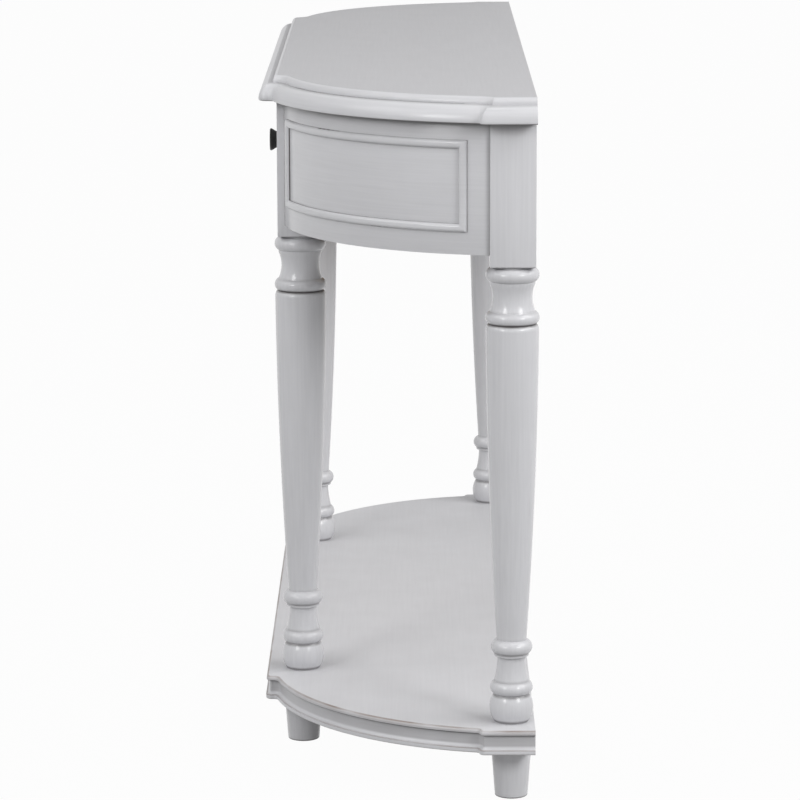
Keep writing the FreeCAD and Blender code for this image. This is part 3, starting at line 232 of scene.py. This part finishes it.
def brushed_paint(name, along, base=0.0, reach=(0.0, 1.0), dark_lines=(), rubs=(), narrowing=3.0, level_shade=0.0,
                  gloss=0.2, dull=0.0):
    """Satin paint with strokes along some axes, glaze and painted shade in grooves, and rubbed lips.

    Dark lines and rubs are stops (height, strength) within a reach of heights, in metres above a base.
    The dark lines are glaze and painted shade. Narrowing draws in the glaze and painted shade beside beads.
    The level shade is the share of painted shade on level faces. The gloss is the mean roughness, and
    level faces are duller by what dull adds to it.
    """
    material, tree, surface = new_material(name)
    coordinates = add(tree, "ShaderNodeTexCoord").outputs
    places = coordinates["Object"]
    normal = add(tree, "ShaderNodeSeparateXYZ", {0: coordinates["Normal"]})
    upward = add(tree, "ShaderNodeMapRange", {"Value": normal.outputs["Z"], **FACES_UP}).outputs[0]
    strokes = strokes_on(tree, places, along, upward)
    patches = {"Vector": places, "Scale": 1000 / MOTTLE_MM, "Detail": 2.0}
    mottle = add(tree, "ShaderNodeTexNoise", patches).outputs["Fac"]
    drift = add(tree, "ShaderNodeMath", {0: mottle, 1: MOTTLE_SHARE, 2: strokes}, operation="MULTIPLY_ADD")
    shaded = add(tree, "ShaderNodeMapRange", {"Value": drift.outputs[0], **TONE_SPAN}).outputs[0]
    tones = {0: shaded, 6: linear(PALE), 7: linear(SHADE)}
    tone = add(tree, "ShaderNodeMix", tones, data_type="RGBA").outputs[2]

    # Glaze and painted shade: dark lines by height, and beside the beads from a value on the mesh.
    beside = add(tree, "ShaderNodeAttribute", attribute_name="glaze_and_shade").outputs["Fac"]
    narrow = add(tree, "ShaderNodeMath", {0: beside, 1: narrowing}, operation="POWER").outputs[0]
    lines = by_height(tree, places, base, reach, dark_lines)
    corners = add(tree, "ShaderNodeMath", {0: lines, 1: narrow}, operation="MAXIMUM").outputs[0]
    uneven = add(tree, "ShaderNodeMapRange", {"Value": mottle, **GLAZE_AND_SHADE_LEFT}).outputs[0]
    kept = add(tree, "ShaderNodeMath", {0: corners, 1: uneven}, operation="MULTIPLY", use_clamp=True)
    # Painted shade: faces that point up are darkened by this share, which makes the level top greyer.
    level_shading = add(tree, "ShaderNodeMath", {0: upward, 1: level_shade}, operation="MULTIPLY")
    layers = {0: kept.outputs[0], 1: level_shading.outputs[0]}
    darkness = add(tree, "ShaderNodeMath", layers, operation="MAXIMUM").outputs[0]
    darkening = {0: darkness, 6: tone, 7: linear(GLAZE_AND_SHADE)}
    glazed_and_shaded = add(tree, "ShaderNodeMix", darkening, data_type="RGBA").outputs[2]

    lips = by_height(tree, places, base, reach, rubs)
    patchy = add(tree, "ShaderNodeMapRange", {"Value": mottle, **RUB_LEFT}).outputs[0]
    worn = add(tree, "ShaderNodeMath", {0: lips, 1: patchy}, operation="MULTIPLY").outputs[0]
    wear = {0: worn, 6: glazed_and_shaded, 7: linear(RUBBED)}
    colour = add(tree, "ShaderNodeMix", wear, data_type="RGBA").outputs[2]

    drifting = {"Value": strokes, "To Min": gloss - GLOSS_DRIFT, "To Max": gloss + GLOSS_DRIFT}
    shine = add(tree, "ShaderNodeMapRange", drifting).outputs[0]
    dulled = add(tree, "ShaderNodeMath", {0: upward, 1: dull, 2: shine}, operation="MULTIPLY_ADD").outputs[0]
    furrows = {"Height": strokes, "Strength": STROKE_RELIEF, "Distance": STROKE_DEPTH}
    relief = add(tree, "ShaderNodeBump", furrows).outputs[0]
    for socket, feed in (("Base Color", colour), ("Roughness", dulled), ("Normal", relief)):
        tree.links.new(feed, surface.inputs[socket])
    surface.inputs["IOR"].default_value = PAINT_IOR
    return material


print("paint of", PALE, "and", SHADE, "with glaze of", GLAZE_AND_SHADE)

# %% Mix a paint for each kind of piece
# Marks are counted from the underside of the top, and from the underside and the upper side of the shelf.
under_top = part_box("top_board")[0].z
under_shelf, on_shelf = [corner.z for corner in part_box("shelf_board")]

# Dark rings of glaze and painted shade part the balls, rings and collars of the legs, and make the
# turnings read from afar. The lowest is a painted contact shadow on the shelf, the highest a painted
# shadow under the top.
# Each has its height over the shelf, half its width and its strength.
LEG_REACH = (-0.0035, 0.6565)
LEG_LINES = (
    (0.0007, 0.0016, 0.8), (0.0310, 0.0014, 1.0), (0.0451, 0.0008, 0.25), (0.0762, 0.0010, 0.3),
    (0.0914, 0.0010, 0.1), (0.4373, 0.0011, 0.5), (0.4507, 0.0009, 0.2), (0.4827, 0.0010, 0.25),
    (0.4985, 0.0014, 0.35), (0.6531, 0.0030, 0.25),
)
leg_stops = [stop for mark in LEG_LINES for stop in line(*mark)]
turned_paint = brushed_paint("brushed_paint_on_turnings", "Z", on_shelf, LEG_REACH, leg_stops)

# The top is calm and dull. Painted shade makes its level faces a little darker, and a painted shadow
# line lies under its glossy nose.
TOP_REACH = (-0.0075, 0.0325)
nose_stops = line(0.0001, 0.0010, 0.8)
top_paint = brushed_paint("brushed_paint_on_top", "XY", under_top, TOP_REACH, nose_stops, level_shade=0.26,
                          gloss=0.3, dull=0.3)

# The shelf shows a sunk band greyed by painted shade, a painted shadow line over it under the upper lip,
# and brown where its lips are rubbed.
SHELF_REACH = (-0.0065, 0.0335)
band_stops = [(0.0075, 0.0), (0.0095, 0.13), (0.0200, 0.13), (0.0212, 0.9), (0.0219, 0.0)]
lip_stops = [
    *line(0.0003, 0.0010, 0.7), *line(0.0049, 0.0008, 0.7),
    (0.0221, 0.0), (0.0230, 0.3), (0.0250, 0.3), (0.0260, 0.9), (0.0267, 0.9), (0.02695, 0.0),
]
shelf_paint = brushed_paint("brushed_paint_on_shelf", "XY", under_shelf, SHELF_REACH, band_stops, lip_stops,
                            gloss=0.38, dull=0.17)

# The aprons are plain, with a soft painted shadow under the top. The beads get their lines of glaze and
# painted shade from the mesh.
APRON_REACH = (-0.1575, 0.0025)
shadow_stops = line(-0.0009, 0.0030, 0.25)
apron_paint = brushed_paint("brushed_paint_on_aprons", "XY", under_top, APRON_REACH, shadow_stops)
bead_paint = brushed_paint("brushed_paint_on_beads", "XY", narrowing=1.0)

# The feet have a thin painted contact shadow at the floor and a painted shade line where they meet the
# shelf.
FOOT_REACH = (0.0, 0.06)
FOOT_LINE_BELOW = 0.0003
foot_stops = [(0.0002, 0.5), (0.0022, 0.0), *line(under_shelf - FOOT_LINE_BELOW, 0.0014, 0.6)]
foot_paint = brushed_paint("brushed_paint_on_feet", "Z", 0.0, FOOT_REACH, foot_stops)
print("mixed six brushed paints")

# %% [markdown]
# ## Bare wood, black knobs and zinc screws
# Inside, nobody paints: drawer boxes, runners and blocks are pale planed hardwood. Its grain runs
# along each board, so the same trick of squeezed noise gives the year rings, with a finer
# noise for pores. The knobs are satin black paint on turned metal, where only a faint unevenness shows.
# The screws and bolts are zinc plated steel with a fine cloudy grain, as plating leaves it.

# %% Mix the bare wood
# Pores are about 0.3 mm wide, and are drawn coarser so that they show.
GRAIN_MM = 7.0
GRAIN_STRETCH = 25
PORE_MM = 0.9
WOOD_LIGHT = "#dcc39c"
WOOD_DARK = "#c09a6b"
WOOD_PORE = "#8a6238"
RING_SPAN = {"From Min": 0.3, "From Max": 0.7}
PORE_SHARE = {"From Min": 0.58, "From Max": 0.75, "To Max": 0.45}
PORE_RELIEF = 0.3
PORE_DEPTH = 0.0003
WOOD_ROUGHNESS = 0.55


def planed_wood(name, along):
    """Pale hardwood with grain along one axis."""
    material, tree, surface = new_material(name)
    places = add(tree, "ShaderNodeTexCoord").outputs["Object"]
    scale = [1000 / GRAIN_MM] * 3
    scale["XYZ".index(along)] = 1000 / (GRAIN_MM * GRAIN_STRETCH)
    squeezed = add(tree, "ShaderNodeMapping", {"Vector": places, "Scale": scale}).outputs[0]
    wavy = {"Vector": squeezed, "Scale": 1.0, "Detail": 4.0, "Distortion": 0.6}
    rings = add(tree, "ShaderNodeTexNoise", wavy).outputs["Fac"]
    fine = {"Vector": squeezed, "Scale": GRAIN_MM / PORE_MM, "Detail": 1.0}
    pores = add(tree, "ShaderNodeTexNoise", fine).outputs["Fac"]
    late = add(tree, "ShaderNodeMapRange", {"Value": rings, **RING_SPAN}).outputs[0]
    tones = {0: late, 6: linear(WOOD_LIGHT), 7: linear(WOOD_DARK)}
    tone = add(tree, "ShaderNodeMix", tones, data_type="RGBA").outputs[2]
    opened = add(tree, "ShaderNodeMapRange", {"Value": pores, **PORE_SHARE}).outputs[0]
    flecks = {0: opened, 6: tone, 7: linear(WOOD_PORE)}
    colour = add(tree, "ShaderNodeMix", flecks, data_type="RGBA").outputs[2]
    furrows = {"Height": pores, "Strength": PORE_RELIEF, "Distance": PORE_DEPTH}
    relief = add(tree, "ShaderNodeBump", furrows).outputs[0]
    tree.links.new(colour, surface.inputs["Base Color"])
    tree.links.new(relief, surface.inputs["Normal"])
    surface.inputs["Roughness"].default_value = WOOD_ROUGHNESS
    return material


# The warm wood tells the eye at once that an open drawer shows its unpainted inside.
wood_along = {axis: planed_wood(f"planed_hardwood_along_{axis.lower()}", axis) for axis in "XYZ"}
print("mixed bare wood along", list(wood_along))

# %% Mix the black and the zinc
ROUGHNESS_DRIFT = 0.08


def speckled(name, light, dark, speck_mm, metallic, rough):
    """An even finish with a fine unevenness of tone and gloss."""
    material, tree, surface = new_material(name)
    places = add(tree, "ShaderNodeTexCoord").outputs["Object"]
    grains = {"Vector": places, "Scale": 1000 / speck_mm, "Detail": 3.0}
    specks = add(tree, "ShaderNodeTexNoise", grains).outputs["Fac"]
    tones = {0: specks, 6: linear(light), 7: linear(dark)}
    colour = add(tree, "ShaderNodeMix", tones, data_type="RGBA").outputs[2]
    drifting = {"Value": specks, "To Min": rough - ROUGHNESS_DRIFT, "To Max": rough + ROUGHNESS_DRIFT}
    gloss = add(tree, "ShaderNodeMapRange", drifting).outputs[0]
    tree.links.new(colour, surface.inputs["Base Color"])
    tree.links.new(gloss, surface.inputs["Roughness"])
    surface.inputs["Metallic"].default_value = metallic
    return material


# The knobs are small dark accents with a soft glint, and the screws a dull grey metal. The grain of both
# is finer in life, and is drawn at 1 to 3 mm so that it shows.
knob_black = speckled("satin_black_paint_on_metal", "#1b1a1a", "#0d0d0d", 2.5, 0.0, 0.36)
zinc = speckled("zinc_plated_steel", "#b9bcc0", "#8f9296", 1.2, 1.0, 0.38)
print("mixed black and zinc")

# %% Choose a finish for each piece
FINISHES = (
    ("leg_bolts", zinc), ("top_screws", zinc), ("knob_screw", zinc), ("knob", knob_black),
    ("leg", turned_paint), ("foot", foot_paint), ("top_board", top_paint), ("shelf", shelf_paint),
    ("end_bead", bead_paint), ("drawer_bead", bead_paint), ("end_apron", apron_paint),
    ("front_", apron_paint), ("back_apron", apron_paint), ("drawer_front", apron_paint),
)


def finish_of(node, size):
    """The material of a piece, with the grain along its longest side where it is bare wood."""
    for start, finish in FINISHES:
        if node.startswith(start):
            return finish
    return wood_along["XYZ"[max(range(3), key=lambda axis: size[axis])]]


finished = tuple(start for start, finish in FINISHES)
print(sum(not node.startswith(finished) for node in nodes), "pieces are bare wood")

# %% [markdown]
# ## Mouldings round the ends
# A moulding plane or a router cuts the edge of top and shelf in one sweep. The CAD mesh shows such a
# curve as long skewed triangles, which shade in ragged patches. Finer shading normals would hide that
# only from afar, so the sweep is made again: the curve is unrolled into a straight strip, the section at
# its start is carried along the strip in short steps, and the strip is rolled up again.

# %% Sweep the mouldings of the boards
# The axis of each end curve stands on the flat back, this far in from the end of the table.
CURVE_INSET = 0.297
# What lies farther out from the axis than this is moulding.
CURVE_INSIDE = 0.265
CURVE_STEP = math.radians(0.5)
LONGEST_CHORD = 1.1 * CURVE_STEP
# A curve runs from the break over the back leg to the one over the front leg, in angles from the back.
CURVES = {
    "top_board": (math.radians(12.620), math.radians(76.582)),
    "shelf_board": (math.radians(12.620), math.radians(76.733)),
}
SAME_ANGLE = 0.0004
SAME_PLACE = 1e-5
back_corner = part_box("top_board")[1]
curve_centre = Vector((back_corner.x - CURVE_INSET, back_corner.y))


def unrolled(place):
    """A point of an end curve as its angle, its distance from the curve's axis and its height."""
    arm = Vector((abs(place.x), place.y)) - curve_centre
    return Vector((math.atan2(-arm.y, arm.x), arm.length, place.z))


def rolled(flat, side):
    """The place of an unrolled point, on the right side (1) or the left side (-1) of the table."""
    angle, out, height = flat
    across = curve_centre.x + out * math.cos(angle)
    return Vector((side * across, curve_centre.y - out * math.sin(angle), height))


def sweep_section(shape, curve, start, end):
    """Carries the section at the start of an unrolled curve to its end, in short steps."""
    section = [edge for edge in shape.edges if edge.is_boundary
               and all(point[curve] and point.co.x < start + SAME_ANGLE for point in edge.verts)]
    steps = math.ceil((end - start) / CURVE_STEP)
    lanes = {}
    for point in dict.fromkeys(point for edge in section for point in edge.verts):
        lanes[point] = [point]
        for step in range(1, steps + 1):
            angle = start + (end - start) * step / steps
            lanes[point].append(shape.verts.new((angle, point.co.y, point.co.z)))
            lanes[point][-1][curve] = 1.0
    for edge in section:
        here = edge.link_loops[0].vert
        one, other = lanes[edge.other_vert(here)], lanes[here]
        for step in range(steps):
            shape.faces.new((one[step], other[step], other[step + 1], one[step + 1]))


def sweep_curve(shape, side, start, end):
    """Draws the moulding of one end curve anew, and gives the rims of the flat faces short steps too."""
    curve = shape.verts.layers.float.new("curve")
    for point in shape.verts:
        flat = unrolled(point.co)
        within = start - SAME_ANGLE < flat.x < end + SAME_ANGLE and flat.y > CURVE_INSIDE
        if side * point.co.x > 0 and within:
            point.co = flat
            point[curve] = 1.0
    coarse = [face for face in shape.faces if all(point[curve] for point in face.verts)]
    bmesh.ops.delete(shape, geom=coarse, context="FACES")
    sweep_section(shape, curve, start, end)
    while chords := [edge for edge in shape.edges if all(point[curve] for point in edge.verts)
                     and abs(edge.verts[0].co.x - edge.verts[1].co.x) > LONGEST_CHORD]:
        bmesh.ops.subdivide_edges(shape, edges=chords, cuts=1)
    for point in shape.verts:
        if point[curve]:
            point.co = rolled(point.co, side)
    shape.verts.layers.float.remove(curve)
    bmesh.ops.remove_doubles(shape, verts=shape.verts, dist=SAME_PLACE)
    shape.normal_update()


print("sweeps of", [round(math.degrees(end - start), 1) for start, end in CURVES.values()], "degrees")

# %% [markdown]
# ## Glaze and painted shade beside the beads
# Beads are thin half-round strips, mitred and glued on. The glaze cloth cannot reach the corner beside
# them, and shade falls there too, so a dark line of glaze and painted shade is put there. It runs round
# corners, so height alone cannot mark it: each point of the mesh keeps a value instead, which the paint
# reads as an attribute.

# %% Find the corners that keep glaze and painted shade
NEAR = 0.0004
BEAD_LINE = 0.0014
APRON_END_GLAZE = 0.6
apron_low, apron_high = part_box("end_apron_right")
apron_radius = unrolled(apron_high).y
drawer_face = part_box("drawer_front_right")[0].y


def fading(distance):
    """Glaze and painted shade that fade from 1 in the corner to 0 at the width of a bead's line."""
    return min(max(1 - distance / BEAD_LINE, 0.0), 1.0)


def in_corner(node, place):
    """How dark a point of a piece is made, from 0 in the open to 1 in a corner: glaze and painted
    shade beside the beads, and the dark joint at the ends of the aprons.
    """
    if node.startswith("end_bead"):
        return fading(unrolled(place).y - apron_radius)
    if node.startswith("drawer_bead"):
        return fading(drawer_face - place.y)
    if node.startswith("end_apron"):
        at_front = abs(abs(place.x) - apron_low.x) < NEAR
        return APRON_END_GLAZE * (at_front or abs(place.y - apron_high.y) < NEAR)
    return 0.0


print("aprons curve at", round(apron_radius, 4), "m, glaze 0.7 mm from a bead:", fading(0.0007))

# %% [markdown]
# ## Softened pieces
# A CAD mesh is loose triangles with razor edges. Real painted wood has no such edge: it is sanded,
# and paint builds up a small round that catches the light. A bevel modifier on every piece
# would also nick the fine turnings, so each piece is copied, its triangles are merged back into
# whole faces, and only the long outer edges get a small bevel with bmesh. Each copy then stands
# for its CAD node.

# %% Copy, merge and soften every piece
EDGE_ROUND = 0.0008
SAME_POINT = 1e-6
FLAT = math.radians(0.02)
SHARP = math.radians(50)
CREASE = math.radians(30)
LONG_EDGE = 0.02
SHAPED = ("leg", "foot", "top_board", "shelf_board")
LEFT_SHARP = ("knob", "leg_bolts", "top_screws", "apron_dowels", "end_bead", "drawer_bead")


def sanded_edges(shape, node):
    """The outer edges of a piece that sanding rounds: on shaped pieces only the long ones."""
    if node.startswith(LEFT_SHARP):
        return []
    shortest = LONG_EDGE if node.startswith(SHAPED) else 0.0
    return [
        edge for edge in shape.edges
        if len(edge.link_faces) == 2 and edge.is_convex
        and edge.calc_face_angle() > SHARP and edge.calc_length() > shortest
    ]


def softened(node):
    """A merged copy of a CAD node with its sharp edges rounded, which stands for the node."""
    source = nodes[node]
    mesh = source.data.copy()
    shape = bmesh.new()
    shape.from_mesh(mesh)
    bmesh.ops.remove_doubles(shape, verts=shape.verts, dist=SAME_POINT)
    bmesh.ops.dissolve_limit(shape, angle_limit=FLAT, verts=shape.verts, edges=shape.edges)
    edges = sanded_edges(shape, node)
    if edges:
        bmesh.ops.bevel(shape, geom=edges, offset=EDGE_ROUND, offset_type="OFFSET", affect="EDGES",
                        segments=2, profile=0.5, material=-1, clamp_overlap=True)
    if node in CURVES:
        for side in (1, -1):
            sweep_curve(shape, side, *CURVES[node])
    layer = shape.verts.layers.float.new("glaze_and_shade")
    for point in shape.verts:
        point[layer] = in_corner(node, point.co)
    for face in shape.faces:
        face.smooth = True
    for edge in shape.edges:
        edge.smooth = len(edge.link_faces) == 2 and edge.calc_face_angle() < CREASE
    shape.to_mesh(mesh)
    shape.free()
    piece = bpy.data.objects.new(f"{node}_finished", mesh)
    scene.collection.objects.link(piece)
    mesh.materials.clear()
    mesh.materials.append(finish_of(node, piece.dimensions))
    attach(piece, source["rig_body"])
    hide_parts(node)
    return len(edges), len(mesh.polygons)


counts = [softened(node) for node in sorted(nodes)]
print(sum(edges for edges, faces in counts), "edges softened,",
      sum(faces for edges, faces in counts), "faces")

# %% [markdown]
# ## Studio floor and white ground
# The photograph is a catalogue picture on pure white. A white ground could be reached by flooding
# everything with light, but that would burn out the pale paint. Instead the floor and the world
# look white only to the camera and to mirrors, and give the object a plain, softer light of their
# own: the floor as a mid grey that still takes the shadow, the world as even walls and a ceiling
# that is slightly brighter.

# %% Lay the floor
FLOOR_GREY = "#989898"
FLOOR_ROUGHNESS = 0.9
FLOOR_WHITE = 0.97
FLOOR_HALF = 30


def seen(tree):
    """1 for rays from the camera, a mirror or glass, and 0 for light on its way to the object."""
    rays = add(tree, "ShaderNodeLightPath").outputs
    bounced = {0: rays["Is Glossy Ray"], 1: rays["Is Transmission Ray"]}
    mirrored = add(tree, "ShaderNodeMath", bounced, operation="MAXIMUM").outputs[0]
    shown = {0: rays["Is Camera Ray"], 1: mirrored}
    return add(tree, "ShaderNodeMath", shown, operation="MAXIMUM").outputs[0]


floor_mesh = bpy.data.meshes.new("floor")
shape = bmesh.new()
bmesh.ops.create_grid(shape, x_segments=1, y_segments=1, size=FLOOR_HALF)
shape.to_mesh(floor_mesh)
shape.free()
floor = bpy.data.objects.new("floor", floor_mesh)
scene.collection.objects.link(floor)
floor_paint, tree, surface = new_material("white_studio_floor")
surface.inputs["Base Color"].default_value = linear(FLOOR_GREY)
surface.inputs["Roughness"].default_value = FLOOR_ROUGHNESS
glow = add(tree, "ShaderNodeEmission", {"Strength": 1.0}).outputs[0]
share = add(tree, "ShaderNodeMath", {0: seen(tree), 1: FLOOR_WHITE}, operation="MULTIPLY").outputs[0]
ground = add(tree, "ShaderNodeMixShader", {0: share, 1: surface.outputs[0], 2: glow})
tree.links.new(ground.outputs[0], tree.nodes["Material Output"].inputs["Surface"])
floor_mesh.materials.append(floor_paint)
print("floor", floor.dimensions[0], "m across")

# %% Fill the room with even light
WALL_LIGHT = 0.42
CEILING_LIGHT = 0.46
CEILING_FROM = 0.9

world = bpy.data.worlds.new("studio")
scene.world = world
world.use_nodes = True
tree = world.node_tree
fill = tree.nodes["Background"]
fill.inputs["Color"].default_value = (1, 1, 1, 1)
way = add(tree, "ShaderNodeTexCoord").outputs["Generated"]
rise = add(tree, "ShaderNodeSeparateXYZ", {0: way}).outputs["Z"]
brightening = {"Value": rise, "From Max": CEILING_FROM, "To Min": WALL_LIGHT, "To Max": CEILING_LIGHT}
strength = add(tree, "ShaderNodeMapRange", brightening).outputs[0]
tree.links.new(strength, fill.inputs["Strength"])
white = add(tree, "ShaderNodeBackground", {"Strength": 1.0}).outputs[0]
room = add(tree, "ShaderNodeMixShader", {0: seen(tree), 1: fill.outputs[0], 2: white})
tree.links.new(room.outputs[0], tree.nodes["World Output"].inputs["Surface"])
print("fill from", WALL_LIGHT, "at the walls to", CEILING_LIGHT, "overhead")

# %% [markdown]
# ## Softboxes and side banks
# Every ring and ball of the turnings carries two small highlights, one to the left of its middle
# and one to the right. That is the picture of two softboxes beside the camera. Their angle is read
# off the balls: on a ball, a highlight sits halfway between the way to the camera and the way to
# the lamp. Two wide banks at the sides, higher up, then model the legs without new highlights. The
# right one is stronger, because the shafts in the photograph are lightest on their right.

# %% Hang the lamps
LAMP_AIM = Vector((0.35, 0.0, 0.45))
# Each lamp has its azimuth and elevation in degrees, its distance and width in metres and its watts.
LAMPS = {
    "left_softbox": (-39, 26, 3.4, 1.0, 28),
    "right_softbox": (43, 26, 3.4, 1.0, 34),
    "left_bank": (-74, 42, 3.6, 2.2, 26),
    "right_bank": (80, 42, 3.6, 2.2, 56),
}


def softbox(name, azimuth, elevation, distance, width, power):
    """A square area lamp, its angles counted from the camera's side of the table."""
    lamp = bpy.data.lights.new(name, "AREA")
    lamp.size = width
    lamp.energy = power
    holder = bpy.data.objects.new(name, lamp)
    turn, rise = math.radians(azimuth), math.radians(elevation)
    level = math.cos(rise)
    away = Vector((level * math.cos(turn), level * math.sin(turn), math.sin(rise)))
    holder.location = LAMP_AIM + distance * away
    holder.rotation_euler = (-away).to_track_quat("-Z", "Y").to_euler()
    scene.collection.objects.link(holder)
    return holder


lamps = [softbox(name, *setting) for name, setting in LAMPS.items()]
print("lamps at", [tuple(round(part, 2) for part in lamp.location) for lamp in lamps])

# %% [markdown]
# ## Last settings
# The standard view keeps colours as they are written.

# %% Finish
scene.view_settings.view_transform = "Standard"
